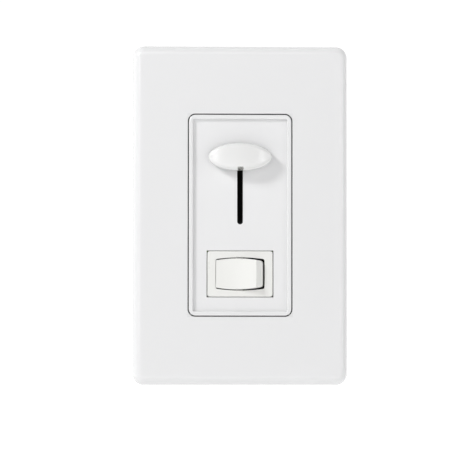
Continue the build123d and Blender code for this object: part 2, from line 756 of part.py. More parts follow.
with BuildPart() as rocker_button:
    with BuildSketch(rocker_side) as rocker_profile:
        with BuildLine():
            ThreePointArc((-CREST_U, -CREST_V), (0, ROCKER_DISH - CREST_V), (CREST_U, -CREST_V))
            Polyline(
                (CREST_U, -CREST_V),
                (FLANK_U, -FLANK_V),
                (FLANK_U - 0.1, -SKIRT_V),
                (-FLANK_U + 0.1, -SKIRT_V),
                (-FLANK_U, -FLANK_V),
                (-CREST_U, -CREST_V),
            )
        make_face()
        fillet(rocker_profile.vertices().group_by(Axis.Y)[0], 0.35)
    extrude(amount=ROCKER_HALF_H + 1, both=True)
    with BuildSketch(rocker_face):
        add(rocker_outline)
    extrude(amount=CREST_V + 2, mode=Mode.INTERSECT)
    fillet(
        rocker_button.edges()
        .filter_by_position(Axis(rocker_face.origin, rocker_face.z_dir), 6.9, 7.6)
        .filter_by(lambda edge: abs(edge.center().Z - SWITCH_Z) > 4.0),
        0.3,
    )
    # hollow back
    with BuildSketch(rocker_face.offset(SKIRT_V)):
        Rectangle(14.6, 8.2)
    extrude(amount=3.4, mode=Mode.SUBTRACT)
    # stem that holds the plunger and its spring
    with BuildSketch(rocker_face.offset(STEM_TOP_V)):
        Circle(STEM_R)
    extrude(amount=8.0)
    with BuildSketch(rocker_face.offset(STEM_TOP_V)):
        Circle(STEM_BORE_R)
    extrude(amount=6.0, mode=Mode.SUBTRACT)
    # ears and pivot pins
    for side in (-1, 1):
        with BuildSketch(rocker_side.offset(side * EAR_INNER_Z)):
            Circle(EAR_R)
            with Locations((0, -1.8)):
                Rectangle(2 * EAR_R, 3.6)
        extrude(amount=side * EAR_T)
        with BuildSketch(rocker_side.offset(side * PIN_INNER_Z)):
            Circle(PIN_R)
        extrude(amount=side * PIN_LENGTH)
export(rocker_button, "rocker_button")

with BuildPart() as rocker_plunger:
    with BuildSketch(rocker_face.offset(PLUNGER_TOP_V)):
        Circle(PLUNGER_R)
    extrude(amount=PLUNGER_LENGTH)
    fillet(rocker_plunger.edges().sort_by(Axis.Y)[-1], PLUNGER_R - 0.05)
export(rocker_plunger, "rocker_plunger")

with BuildPart() as plunger_spring:
    with BuildSketch(rocker_face.offset(SPRING_TOP_V)):
        Circle(PLUNGER_R)
        Circle(SPRING_INNER_R, mode=Mode.SUBTRACT)
    extrude(amount=SPRING_LENGTH)
export(plunger_spring, "plunger_spring")

with BuildPart() as switch_base:
    with BuildSketch(front(-FRAME_REAR)):
        with Locations((0, SWITCH_Z)):
            RectangleRounded(SWITCH_W, SWITCH_H, SWITCH_CORNER_R)
    extrude(amount=-(BASE_REAR - FRAME_REAR))
    with BuildSketch(front(-FRAME_REAR)):
        with Locations((0, SWITCH_Z)):
            Rectangle(SWITCH_W - 2 * SWITCH_WALL, SWITCH_H - 2 * SWITCH_WALL)
    extrude(amount=-(BASE_REAR - SWITCH_WALL - FRAME_REAR), mode=Mode.SUBTRACT)
    with BuildSketch(front(-BASE_REAR)):
        with Locations(*[(pin_x, SWITCH_Z) for pin_x in SWITCH_PIN_XS]):
            Rectangle(SWITCH_PIN_W + PIN_SLOT_FIT, SWITCH_PIN_H + PIN_SLOT_FIT)
    extrude(amount=SWITCH_WALL, mode=Mode.SUBTRACT)
export(switch_base, "switch_base")

# The see-saw contact is drawn along its own length too. Its right end lies back, closed.
seesaw_c = cos(radians(LEVER_TILT))
seesaw_s = sin(radians(LEVER_TILT))
seesaw_side = Plane(origin=(0, SEESAW_Y, SWITCH_Z), x_dir=(seesaw_c, seesaw_s, 0), z_dir=(0, 0, 1))
seesaw_back = Plane(
    origin=(0, SEESAW_Y, SWITCH_Z), x_dir=(seesaw_c, seesaw_s, 0), z_dir=(-seesaw_s, seesaw_c, 0)
)

with BuildPart() as contact_lever:
    with BuildSketch(seesaw_side):
        with Locations((0, -SEESAW_GAP - SEESAW_T / 2)):
            Rectangle(SEESAW_LENGTH, SEESAW_T)
    extrude(amount=SEESAW_HALF_H, both=True)
    fillet(contact_lever.edges().filter_by(Axis((0, 0, 0), (-seesaw_s, seesaw_c, 0))), 0.8)
export(contact_lever, "contact_lever")

with BuildPart() as lever_contacts:
    with BuildSketch(seesaw_back.offset(-SEESAW_GAP)):
        with Locations((-CONTACT_X, 0), (CONTACT_X, 0)):
            Circle(CONTACT_R)
    extrude(amount=LEVER_CONTACT_T)
export(lever_contacts, "lever_contacts")

with BuildPart() as fixed_contacts:
    with BuildSketch(front(-FIXED_CONTACT_Y)):
        with Locations((-CONTACT_X, SWITCH_Z), (CONTACT_X, SWITCH_Z)):
            Circle(CONTACT_R)
    extrude(amount=-FIXED_CONTACT_T)
export(fixed_contacts, "fixed_contacts")


def terminal_pin(x):
    """Flat pin from the switch's floor through the circuit board."""
    with BuildPart() as pin:
        with BuildSketch(front(-FLOOR_Y)):
            with Locations((x, SWITCH_Z)):
                Rectangle(SWITCH_PIN_W, SWITCH_PIN_H)
        extrude(amount=-(BOARD_REAR + SOLDER_TAIL - FLOOR_Y))
    return pin.part


common_pin = terminal_pin(SWITCH_PIN_XS[1])
with BuildPart() as common_terminal:
    with BuildSketch(Plane.XY.offset(SWITCH_Z - STRIP_H / 2)):
        with Locations((0, SEESAW_Y)):
            Circle(FULCRUM_R)
        with Locations((0, (SEESAW_Y + FLOOR_Y) / 2)):
            Rectangle(2 * FULCRUM_R, FLOOR_Y - SEESAW_Y)
        with Locations((0, FLOOR_Y - STRIP_T / 2)):
            Rectangle(COMMON_STRIP_W, STRIP_T)
    extrude(amount=STRIP_H)
    add(common_pin)
export(common_terminal, "common_terminal")

for terminal_name, terminal_x in (
    ("left_terminal", SWITCH_PIN_XS[0]),
    ("right_terminal", SWITCH_PIN_XS[2]),
):
    way_pin = terminal_pin(terminal_x)
    with BuildPart() as way_terminal:
        with BuildSketch(front(-FLOOR_Y)):
            with Locations((terminal_x, SWITCH_Z)):
                Rectangle(WAY_STRIP_W, STRIP_H)
        extrude(amount=STRIP_T)
        add(way_pin)
    export(way_terminal, terminal_name)

# ---- circuit board and what stands on it --------------------------------------------------

with BuildPart() as circuit_board:
    with BuildSketch(front(-BOARD_FRONT)):
        RectangleRounded(BOARD_W, BOARD_H, BOARD_CORNER_R)
        with Locations(*POT_PIN_PLACES):
            Circle(POT_PIN_R + PIN_SLOT_FIT, mode=Mode.SUBTRACT)
        with Locations(*[(pin_x, SWITCH_Z) for pin_x in SWITCH_PIN_XS]):
            Rectangle(
                SWITCH_PIN_W + PIN_SLOT_FIT, SWITCH_PIN_H + PIN_SLOT_FIT, mode=Mode.SUBTRACT
            )
        with Locations(*[(lead_x, TRIAC_LEAD_Z) for lead_x in TRIAC_LEAD_XS]):
            Rectangle(
                TRIAC_LEAD_T + PIN_SLOT_FIT, TRIAC_LEAD_T + PIN_SLOT_FIT, mode=Mode.SUBTRACT
            )
    extrude(amount=-BOARD_T)
export(circuit_board, "circuit_board")

with BuildPart() as insulating_pad:
    with BuildSketch(front(0)):
        with Locations((TRIAC_X, TRIAC_TAB_Z)):
            Rectangle(PAD_W, PAD_H)
        with Locations((TRIAC_X, TRIAC_SCREW_Z)):
            Circle(TRIAC_HOLE_R, mode=Mode.SUBTRACT)
    extrude(amount=-PAD_T)
export(insulating_pad, "insulating_pad")

with BuildPart() as triac_tab:
    with BuildSketch(front(-PAD_T)):
        with Locations((TRIAC_X, TRIAC_TAB_Z)):
            Rectangle(TRIAC_TAB_W, TRIAC_TAB_H)
        with Locations((TRIAC_X, TRIAC_SCREW_Z)):
            Circle(TRIAC_TAB_HOLE_R, mode=Mode.SUBTRACT)
    extrude(amount=-(TRIAC_TAB_BACK - PAD_T))
    for lead_x in TRIAC_LEAD_XS:
        with BuildSketch(Plane.YZ.offset(lead_x - TRIAC_LEAD_T / 2)):
            with BuildLine():
                Polyline(*TRIAC_LEAD_PROFILE, close=True)
            make_face()
        extrude(amount=TRIAC_LEAD_T)
export(triac_tab, "triac_tab")

with BuildPart() as triac_body:
    with BuildSketch(front(-TRIAC_TAB_BACK)):
        with Locations((TRIAC_X, TRIAC_BODY_Z)):
            Rectangle(TRIAC_TAB_W, TRIAC_BODY_H)
    extrude(amount=-TRIAC_BODY_T, taper=4)
export(triac_body, "triac_body")

heat_sink_screw = pan_screw(head_r=2.75, head_h=1.7, shank_r=1.5, length=6.0)
with BuildPart() as triac_screw:
    with Locations(front(YOKE_T)):
        with Locations((TRIAC_X, TRIAC_SCREW_Z)):
            add(heat_sink_screw)
export(triac_screw, "triac_screw")

with BuildPart() as triac_nut:
    with BuildSketch(front(-TRIAC_TAB_BACK)):
        with Locations((TRIAC_X, TRIAC_SCREW_Z)):
            RegularPolygon(NUT_R, 6)
            Circle(NUT_BORE_R, mode=Mode.SUBTRACT)
    extrude(amount=-NUT_T)
export(triac_nut, "triac_nut")

with BuildPart() as choke_core:
    with BuildSketch(front(-(BOARD_REAR + CORE_STAND))):
        with Locations(CHOKE_PLACE):
            Circle(CORE_OUTER_R)
            Circle(CORE_INNER_R, mode=Mode.SUBTRACT)
    extrude(amount=-CORE_T)
    fillet(choke_core.edges(), CORE_EDGE_R)
export(choke_core, "choke_core")

with BuildPart() as choke_winding:
    with BuildSketch(front(-(BOARD_REAR + CORE_STAND - WIRE_T))):
        with Locations(CHOKE_PLACE):
            Circle(CORE_OUTER_R + WIRE_T)
            Circle(CORE_INNER_R - WIRE_T, mode=Mode.SUBTRACT)
    extrude(amount=-(CORE_T + 2 * WIRE_T))
    fillet(choke_winding.edges(), WIRE_T)
    add(choke_core.part, mode=Mode.SUBTRACT)
export(choke_winding, "choke_winding")

with BuildPart() as filter_capacitor:
    with BuildSketch(front(-BOARD_REAR)):
        with Locations(FILTER_PLACE):
            Rectangle(FILTER_W, FILTER_H)
    extrude(amount=-FILTER_T)
    fillet(filter_capacitor.faces().sort_by(Axis.Y)[-1].edges(), FILTER_EDGE_R)
export(filter_capacitor, "filter_capacitor")

with BuildPart() as timing_capacitors:
    with BuildSketch(front(-BOARD_REAR)):
        with Locations(*TIMING_PLACES):
            Rectangle(TIMING_W, TIMING_H)
    extrude(amount=-TIMING_T)
    fillet(timing_capacitors.edges().group_by(Axis.Y)[-1], TIMING_EDGE_R)
export(timing_capacitors, "timing_capacitors")

resistor = axial_part(body_r=1.2, body_length=6.3, lead_span=9.0)
with BuildPart() as resistors:
    with Locations(behind(BOARD_REAR)):
        with Locations(*[(place_x, -place_z) for place_x, place_z in RESISTOR_PLACES]):
            add(resistor)
export(resistors, "resistors")

diode = axial_part(body_r=1.0, body_length=4.2, lead_span=6.6)
with BuildPart() as diac:
    with Locations(behind(BOARD_REAR)):
        with Locations((DIAC_PLACE[0], -DIAC_PLACE[1])):
            add(diode)
export(diac, "diac")

with BuildPart() as varistor:
    with BuildSketch(Plane.XY.offset(VARISTOR_Z - VARISTOR_T / 2)):
        with Locations((VARISTOR_X, BOARD_REAR + VARISTOR_STAND + VARISTOR_R)):
            Circle(VARISTOR_R)
    extrude(amount=VARISTOR_T)
    fillet(varistor.edges().filter_by(GeomType.CIRCLE), VARISTOR_T / 3)
    with BuildSketch(behind(BOARD_REAR)):
        with Locations((VARISTOR_X, -VARISTOR_Z)):
            with GridLocations(VARISTOR_LEAD_SPACING, 0, 2, 1):
                Circle(VARISTOR_LEAD_R)
    extrude(amount=VARISTOR_LEAD_LENGTH)
export(varistor, "varistor")

# ---- line and load terminals --------------------------------------------------------------

with BuildPart() as terminal_tabs:
    for side, height in ALL_PLACES:
        with BuildSketch(Plane.XY.offset(height - TAB_H / 2)):
            with BuildLine():
                Polyline(
                    (side * HOUSING_INNER_X, BOARD_REAR),
                    (side * HOUSING_INNER_X, TAB_REAR),
                    (side * (HOUSING_INNER_X - TAB_T), TAB_REAR),
                    (side * (HOUSING_INNER_X - TAB_T), BOARD_REAR + TAB_FOOT_T),
                    (side * (HOUSING_INNER_X - TAB_FOOT), BOARD_REAR + TAB_FOOT_T),
                    (side * (HOUSING_INNER_X - TAB_FOOT), BOARD_REAR),
                    close=True,
                )
            make_face()
        extrude(amount=TAB_H)
        with BuildSketch(Plane.YZ.offset(side * HOUSING_INNER_X)):
            with Locations((TERMINAL_Y, height)):
                Circle(TAPPED_R)
        extrude(amount=-side * TAB_T, mode=Mode.SUBTRACT)
export(terminal_tabs, "terminal_tabs")

with BuildPart() as wire_clamps:
    for side, height in ALL_PLACES:
        with BuildSketch(Plane.YZ.offset(side * (HOUSING_W / 2 - RECESS_DEPTH))):
            with Locations((TERMINAL_Y, height)):
                RectangleRounded(CLAMP_W, CLAMP_H, CLAMP_CORNER_R)
                Circle(CLAMP_HOLE_R, mode=Mode.SUBTRACT)
        extrude(amount=side * RECESS_DEPTH)
export(wire_clamps, "wire_clamps")

wire_screw = pan_screw(head_r=3.4, head_h=2.1, shank_r=1.74, length=5.5)


def side_plane(side, height):
    """The housing's side face at one terminal, its normal pointing out of the housing."""
    return Plane(
        origin=(side * HOUSING_W / 2, TERMINAL_Y, height), x_dir=(0, side, 0), z_dir=(side, 0, 0)
    )


with BuildPart() as terminal_screws:
    for side, height in TRAVELLER_PLACES:
        with Locations(side_plane(side, height)):
            add(wire_screw)
export(terminal_screws, "terminal_screws")

with BuildPart() as common_screw:
    for side, height in COMMON_PLACES:
        with Locations(side_plane(side, height)):
            add(wire_screw)
export(common_screw, "common_screw")
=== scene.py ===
"""Looks of the slide dimmer with a rocker switch: materials, finely made screws, spring and coil,
a pale floor, soft studio light and the camera. Everything is in metres, in the CAD model's frame.
"""

import json
import math

import bmesh
import bpy
from mathutils import Matrix, Vector


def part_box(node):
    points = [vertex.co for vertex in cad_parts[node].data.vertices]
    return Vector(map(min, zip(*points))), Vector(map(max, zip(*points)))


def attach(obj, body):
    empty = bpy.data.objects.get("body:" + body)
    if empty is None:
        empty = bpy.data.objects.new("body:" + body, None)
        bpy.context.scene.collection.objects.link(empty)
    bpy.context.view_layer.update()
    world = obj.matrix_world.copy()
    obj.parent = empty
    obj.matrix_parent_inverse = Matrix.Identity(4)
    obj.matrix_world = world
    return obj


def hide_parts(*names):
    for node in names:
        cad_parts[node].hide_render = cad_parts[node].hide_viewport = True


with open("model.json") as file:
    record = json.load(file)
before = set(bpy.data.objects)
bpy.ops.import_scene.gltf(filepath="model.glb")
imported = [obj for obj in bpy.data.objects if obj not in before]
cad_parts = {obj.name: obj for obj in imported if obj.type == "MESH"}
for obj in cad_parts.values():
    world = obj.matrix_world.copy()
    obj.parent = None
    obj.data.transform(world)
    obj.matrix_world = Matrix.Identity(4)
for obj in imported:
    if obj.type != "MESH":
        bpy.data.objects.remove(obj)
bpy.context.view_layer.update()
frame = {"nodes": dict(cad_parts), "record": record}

MM = 0.001


# ---- node materials -----------------------------------------------------------------------


class Graph:
    """A material's node tree, with short ways to add and join nodes."""

    def __init__(self, name):
        self.material = bpy.data.materials.new(name)
        self.material.use_nodes = True
        self.nodes = self.material.node_tree.nodes
        self.links = self.material.node_tree.links
        self.shader = self.nodes["Principled BSDF"]
        self.place = self.nodes.new("ShaderNodeTexCoord").outputs["Object"]

    def node(self, kind, inputs=None, **settings):
        """Add a node. An input that is a socket is linked, and any other is its value."""
        made = self.nodes.new(kind)
        for key, value in settings.items():
            setattr(made, key, value)
        for key, value in (inputs or {}).items():
            if isinstance(value, bpy.types.NodeSocket):
                self.links.new(value, made.inputs[key])
            else:
                made.inputs[key].default_value = value
        return made

    def stretched(self, scale, turn=(0, 0, 0)):
        """The object's coordinates, scaled and turned."""
        mapping = self.node("ShaderNodeMapping", {"Vector": self.place})
        mapping.inputs["Scale"].default_value = scale
        mapping.inputs["Rotation"].default_value = turn
        return mapping.outputs["Vector"]

    def noise(self, size, detail=2.0, rough=0.5, where=None, warp=0.0):
        """Noise whose blotches are about size metres across."""
        made = self.node(
            "ShaderNodeTexNoise",
            {
                "Vector": where or self.place,
                "Scale": 1.0 / size,
                "Detail": detail,
                "Roughness": rough,
                "Distortion": warp,
            },
        )
        return made.outputs["Fac"]

    def cells(self, size, feature="F1", where=None, output="Distance"):
        """Voronoi cells about size metres across."""
        made = self.node(
            "ShaderNodeTexVoronoi",
            {"Vector": where or self.place, "Scale": 1.0 / size},
            feature=feature,
        )
        return made.outputs[output]

    def spread(self, value, low, high, new_low=0.0, new_high=1.0):
        """Map a value's range low to high on to another, and clamp it there."""
        made = self.node(
            "ShaderNodeMapRange",
            {
                "Value": value,
                "From Min": low,
                "From Max": high,
                "To Min": new_low,
                "To Max": new_high,
            },
        )
        return made.outputs["Result"]

    def sum(self, first, second, operation="ADD"):
        """Add two values, or combine them by another operation."""
        return self.node("ShaderNodeMath", {0: first, 1: second}, operation=operation).outputs[0]

    def blend(self, amount, first, second):
        """Mix two colours."""
        made = self.node("ShaderNodeMix", data_type="RGBA")
        for socket, value in (
            (made.inputs[0], amount),
            (made.inputs[6], first),
            (made.inputs[7], second),
        ):
            if isinstance(value, bpy.types.NodeSocket):
                self.links.new(value, socket)
            else:
                socket.default_value = value if isinstance(value, float) else (*value, 1.0)
        return made.outputs[2]

    def bump(self, height, depth, strength=1.0, under=None):
        """A bump of the given depth in metres, on top of another one."""
        inputs = {"Height": height, "Distance": depth, "Strength": strength}
        if under is not None:
            inputs["Normal"] = under
        return self.node("ShaderNodeBump", inputs).outputs["Normal"]

    def finish(self, colour, roughness, normal, **constants):
        """Join colour, roughness and normal to the shader and set its constant sockets."""
        self.links.new(colour, self.shader.inputs["Base Color"])
        self.links.new(roughness, self.shader.inputs["Roughness"])
        self.links.new(normal, self.shader.inputs["Normal"])
        for key, value in constants.items():
            socket = key.replace("_", " ").title()
            self.shader.inputs[socket].default_value = value
        return self.material


def node_middle(node):
    """The centre of a CAD node's box."""
    low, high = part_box(node)
    return (low + high) / 2


def shade(colour, factor):
    """A colour made darker or lighter."""
    return tuple(min(1.0, channel * factor) for channel in colour)


GAP_FADE = 0.0003


def gap_shade_mask(g, depth, outer, inner, middle_z=0.0):
    """Where painted shade goes: one on surfaces that lie deeper than depth, between two upright
    rectangles of half sizes.
    """
    parts = g.node("ShaderNodeSeparateXYZ", {0: g.place})
    across = g.sum(parts.outputs["X"], 0.0, "ABSOLUTE")
    rise = g.sum(g.sum(parts.outputs["Z"], -middle_z), 0.0, "ABSOLUTE")

    def within(half):
        furthest = g.sum(
            g.sum(across, 1 / half[0], "MULTIPLY"), g.sum(rise, 1 / half[1], "MULTIPLY"), "MAXIMUM"
        )
        return g.spread(furthest, 1.001, 0.999)

    ring = g.sum(within(outer), within(inner), "SUBTRACT")
    deep = g.spread(parts.outputs["Y"], -depth, -depth + GAP_FADE)
    return g.sum(g.spread(ring, 0.0, 1.0), deep, "MULTIPLY")


SPECK_STRENGTH = 0.12
# painted shade: how strongly the near-black gap shade covers the plastic's own colour
GAP_SHADE_STRENGTH = 0.96


def moulded(
    name,
    base,
    variation=0.03,
    gloss=(0.28, 0.36),
    grain=0.00012,
    depth=4e-6,
    gap_shade=None,
    **constants,
):
    """Injection-moulded plastic: faint flow mottling, spark-eroded grain, handling marks.

    One argument may name a gap whose deep walls then get painted shade, given in the form the gap
    mask takes.
    """
    g = Graph(name)
    mottle = g.noise(0.022, detail=3.0, warp=0.6)
    darker, lighter = shade(base, 1 - variation), shade(base, 1 + variation)
    colour = g.blend(g.spread(mottle, 0.3, 0.7), darker, lighter)
    cloud = g.noise(0.0031, detail=4.0)
    colour = g.blend(g.spread(cloud, 0.35, 0.75, 0.0, 0.3), colour, darker)
    # pinpoint inclusions in the pigment
    speck = g.spread(g.cells(0.0016), 0.05, 0.035)
    colour = g.blend(g.sum(speck, SPECK_STRENGTH, "MULTIPLY"), colour, shade(base, 0.72))
    # painted shade: the deep walls of the named gap are darkened to near-black, so the gap reads as
    # a dark line
    if gap_shade:
        shaded_gap = g.sum(gap_shade_mask(g, *gap_shade), GAP_SHADE_STRENGTH, "MULTIPLY")
        colour = g.blend(shaded_gap, colour, GAP_SHADE_COLOUR)
    handling = g.noise(0.009, detail=5.0, rough=0.62)
    streaks = g.noise(0.004, detail=2.0, where=g.stretched((1.0, 1.0, 0.12), (0.0, 0.5, 0.0)))
    wear = g.sum(g.sum(handling, 0.7, "MULTIPLY"), g.sum(streaks, 0.3, "MULTIPLY"))
    roughness = g.spread(wear, 0.3, 0.7, *gloss)
    fine = g.noise(grain, detail=2.0, rough=0.6)
    sink = g.noise(0.03, detail=1.0)
    normal = g.bump(fine, depth, under=g.bump(sink, depth * 4, strength=0.3))
    return g.finish(colour, roughness, normal, **constants)


def plated(name, base, tint, blotch=0.0016, gloss=(0.22, 0.4), depth=3e-6, **constants):
    """Plated or oxidised metal: crystalline blotches, tarnish and fine scratches."""
    g = Graph(name)
    tarnish = g.noise(0.005, detail=5.0, rough=0.65, warp=0.8)
    colour = g.blend(g.spread(tarnish, 0.35, 0.72), base, tint)
    grains = g.cells(blotch, output="Color")
    grain_tone = g.node("ShaderNodeSeparateColor", {0: grains}).outputs[0]
    colour = g.blend(g.sum(grain_tone, 0.22, "MULTIPLY"), colour, shade(base, 0.8))
    scratch_place = g.stretched((1.0, 9.0, 0.35), (0.3, 0.4, 0.6))
    scratches = g.noise(0.0006, detail=3.0, rough=0.7, where=scratch_place)
    roughness = g.spread(g.sum(tarnish, scratches, "MULTIPLY"), 0.1, 0.45, *gloss)
    normal = g.bump(scratches, depth, under=g.bump(tarnish, depth * 3))
    return g.finish(colour, roughness, normal, metallic=1.0, **constants)


def brushed(name, base, tint, stretch, gloss=(0.26, 0.42), depth=3e-6):
    """Rolled or brushed sheet: long fine lines along one axis, with faint stains."""
    g = Graph(name)
    lines = g.noise(0.00022, detail=4.0, rough=0.7, where=g.stretched(stretch))
    stain = g.noise(0.012, detail=4.0, rough=0.6, warp=1.0)
    colour = g.blend(g.spread(lines, 0.3, 0.7), shade(base, 0.86), shade(base, 1.06))
    colour = g.blend(g.spread(stain, 0.52, 0.78, 0.0, 0.55), colour, tint)
    roughness = g.spread(g.sum(lines, stain), 0.7, 1.3, *gloss)
    normal = g.bump(lines, depth, under=g.bump(stain, depth * 4, strength=0.4))
    return g.finish(colour, roughness, normal, metallic=1.0)


def foam(name, base):
    """Closed-cell foam."""
    g = Graph(name)
    pores = g.cells(0.00035, feature="SMOOTH_F1")
    shade_noise = g.noise(0.003, detail=3.0)
    colour = g.blend(g.spread(pores, 0.1, 0.6), shade(base, 0.4), shade(base, 2.2))
    roughness = g.spread(shade_noise, 0.3, 0.7, 0.85, 0.97)
    return g.finish(colour, roughness, g.bump(pores, 8e-5), sheen_weight=0.15)


def fibrous(name, base, tint, stretch=(1.0, 1.0, 0.2)):
    """Vulcanised fibre or paper laminate: matted fibres in two directions."""
    g = Graph(name)
    along = g.noise(0.0003, detail=4.0, rough=0.7, where=g.stretched(stretch))
    across = g.noise(0.0003, detail=4.0, rough=0.7, where=g.stretched((0.2, 1.0, 1.0), (0, 0.6, 0)))
    mat_tone = g.sum(along, across, "MULTIPLY")
    colour = g.blend(g.spread(mat_tone, 0.15, 0.4), base, tint)
    roughness = g.spread(across, 0.3, 0.7, 0.55, 0.8)
    return g.finish(colour, roughness, g.bump(mat_tone, 2e-5))


def laminate(name, mask, copper):
    """Circuit board: solder mask over copper tracks and glass weave."""
    g = Graph(name)
    weave = g.node(
        "ShaderNodeTexWave",
        {"Vector": g.place, "Scale": 900.0, "Distortion": 1.5, "Detail": 2.0},
        bands_direction="DIAGONAL",
    ).outputs["Fac"]
    tracks = g.node(
        "ShaderNodeTexVoronoi",
        {"Vector": g.place, "Scale": 260.0, "Randomness": 0.75},
        distance="MANHATTAN",
    )
    path = g.spread(tracks.outputs["Distance"], 0.34, 0.36)
    colour = g.blend(g.spread(weave, 0.0, 1.0, 0.0, 0.25), mask, shade(mask, 1.6))
    colour = g.blend(g.sum(path, 0.45, "MULTIPLY"), colour, copper)
    roughness = g.spread(g.noise(0.004, detail=3.0), 0.3, 0.7, 0.22, 0.4)
    return g.finish(colour, roughness, g.bump(path, 3e-5, under=g.bump(weave, 4e-6)))


def banded(name, base, bands, period, axis=0):
    """A lacquered body with colour rings round it."""
    g = Graph(name)
    parts = g.node("ShaderNodeSeparateXYZ", {0: g.place})
    ring = g.node("ShaderNodeMath", {0: parts.outputs[axis], 1: period}, operation="PINGPONG")
    mottle = g.spread(g.noise(0.002, detail=3.0), 0.3, 0.7)
    colour = g.blend(mottle, shade(base, 0.9), shade(base, 1.05))
    for centre, tone in bands:
        off = g.node("ShaderNodeMath", {0: ring.outputs[0], 1: centre}, operation="SUBTRACT")
        near = g.node("ShaderNodeMath", {0: off.outputs[0]}, operation="ABSOLUTE")
        colour = g.blend(g.spread(near.outputs[0], 0.0004, 0.0003), colour, tone)
    roughness = g.spread(g.noise(0.001, detail=3.0), 0.3, 0.7, 0.3, 0.5)
    return g.finish(colour, roughness, g.bump(g.noise(0.0003, detail=2.0), 1.5e-5))


WHITE = (0.800, 0.800, 0.805)
# painted shade: the near-black colour laid on the deep walls of the gaps
GAP_SHADE_COLOUR = (0.012, 0.012, 0.012)
BAND_PERIOD = 0.0045
# where painted shade goes on a gap's deep walls: depth in front of the wall, then the half sizes of
# the outer and inner rectangle
COVER_GAP_SHADE = (6.82 * MM, (18.5 * MM, 35.75 * MM), (17.6 * MM, 34.9 * MM))
# the inner rectangle is taller than the object, so only the sides of the bezel get painted shade
UNLIMITED = 1.0
SWITCH_GAP_SHADE = (
    5.86 * MM,
    (11.9 * MM, 8.4 * MM),
    (11.2 * MM, UNLIMITED),
    node_middle("switch_frame").z,
)
# the plate, the panel and the rocker get painted shade on the deep walls of their gaps
MATERIALS = {
    "white_plate": moulded(
        "plate_polycarbonate",
        WHITE,
        0.003,
        (0.2, 0.27),
        depth=2e-6,
        gap_shade=COVER_GAP_SHADE,
        coat_weight=0.6,
        coat_roughness=0.14,
    ),
    "white_panel": moulded(
        "panel_polycarbonate", shade(WHITE, 0.99), 0.004, (0.34, 0.42), 0.00016, 4e-6, SWITCH_GAP_SHADE
    ),
    "white_knob": moulded(
        "knob_polycarbonate",
        (0.785, 0.785, 0.78),
        0.004,
        (0.18, 0.25),
        depth=2e-6,
        coat_weight=0.3,
        coat_roughness=0.12,
    ),
    "cream_rocker": moulded(
        "rocker_nylon", (0.815, 0.815, 0.79), 0.005, (0.27, 0.35), depth=3e-6, gap_shade=SWITCH_GAP_SHADE
    ),
    "black_housing": moulded(
        "housing_phenolic", (0.018, 0.018, 0.02), 0.16, (0.38, 0.55), 0.0003, 1.6e-5
    ),
    "natural_nylon": moulded("natural_nylon", (0.72, 0.69, 0.58), 0.05, (0.38, 0.5)),
    "epoxy_black": moulded("moulded_epoxy", (0.014, 0.014, 0.015), 0.15, (0.45, 0.6), 0.0002, 1e-5),
    "ferrite_paint": moulded("painted_core", (0.74, 0.62, 0.12), 0.07, (0.42, 0.6), 0.0003, 1.4e-5),
    "capacitor_film": moulded("film_capacitor_case", (0.72, 0.55, 0.10), 0.05, (0.25, 0.36)),
    "capacitor_red": moulded(
        "dipped_capacitor", (0.42, 0.06, 0.03), 0.08, (0.18, 0.3), coat_weight=0.5
    ),
    "varistor_blue": moulded(
        "varistor_epoxy", (0.03, 0.10, 0.32), 0.08, (0.2, 0.33), coat_weight=0.4
    ),
    "silicone_pad": moulded("silicone_pad", (0.46, 0.52, 0.55), 0.06, (0.6, 0.8), 0.0002, 2e-5),
    "black_foam": foam("seal_foam", (0.004, 0.004, 0.0045)),
    "yoke_metal": brushed(
        "yoke_aluminium", (0.66, 0.67, 0.69), (0.50, 0.50, 0.50), (1.0, 1.0, 0.02)
    ),
    "copper": brushed("copper_strip", (0.78, 0.42, 0.26), (0.48, 0.24, 0.14), (0.03, 1.0, 1.0)),
    "zinc_steel": plated("zinc_plating", (0.62, 0.62, 0.60), (0.50, 0.51, 0.47)),
    "brass": plated("brass", (0.72, 0.52, 0.20), (0.50, 0.34, 0.13), gloss=(0.2, 0.42)),
    "silver_contact": plated(
        "silver_tin", (0.78, 0.77, 0.74), (0.55, 0.52, 0.46), gloss=(0.18, 0.35)
    ),
    "green_steel": plated(
        "green_dyed_zinc", (0.05, 0.34, 0.10), (0.03, 0.20, 0.06), gloss=(0.28, 0.45)
    ),
    "black_steel": plated(
        "black_oxide", (0.045, 0.045, 0.05), (0.09, 0.08, 0.075), gloss=(0.35, 0.55)
    ),
    "enamelled_wire": plated(
        "enamelled_copper",
        (0.62, 0.22, 0.07),
        (0.40, 0.12, 0.04),
        gloss=(0.2, 0.34),
        coat_weight=0.6,
    ),
    "fibre": fibrous("vulcanised_fibre", (0.30, 0.13, 0.07), (0.42, 0.22, 0.13)),
    "track_brown": fibrous("carbon_track_laminate", (0.012, 0.009, 0.007), (0.03, 0.02, 0.015)),
    "board_green": laminate("board_laminate", (0.02, 0.16, 0.06), (0.30, 0.34, 0.10)),
    "resistor_tan": banded(
        "resistor_lacquer",
        (0.62, 0.44, 0.24),
        ((0.0008, (0.30, 0.05, 0.02)), (0.0021, (0.35, 0.14, 0.02)), (0.0034, (0.60, 0.42, 0.05))),
        BAND_PERIOD,
    ),
    "glass_blue": banded(
        "diode_glass", (0.06, 0.16, 0.40), ((0.0012, (0.02, 0.02, 0.02)),), BAND_PERIOD
    ),
}

for row in frame["record"]["subparts"]:
    mesh = frame["nodes"][row["node"]].data
    mesh.materials.clear()
    mesh.materials.append(MATERIALS[row["material_slot"]])


# ---- pieces made of mesh code -------------------------------------------------------------


def linked(name, mesh, body, slot, *nodes, smooth_angle=35):
    """Put a mesh in the scene, riding a body, with its slot's material, in place of CAD nodes."""
    piece = bpy.data.objects.new(name, mesh)
    bpy.context.scene.collection.objects.link(piece)
    mesh.materials.clear()
    mesh.materials.append(MATERIALS[slot])
    mesh.shade_smooth()
    mesh.set_sharp_from_angle(angle=math.radians(smooth_angle))
    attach(piece, body)
    if nodes:
        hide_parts(*nodes)
    return piece


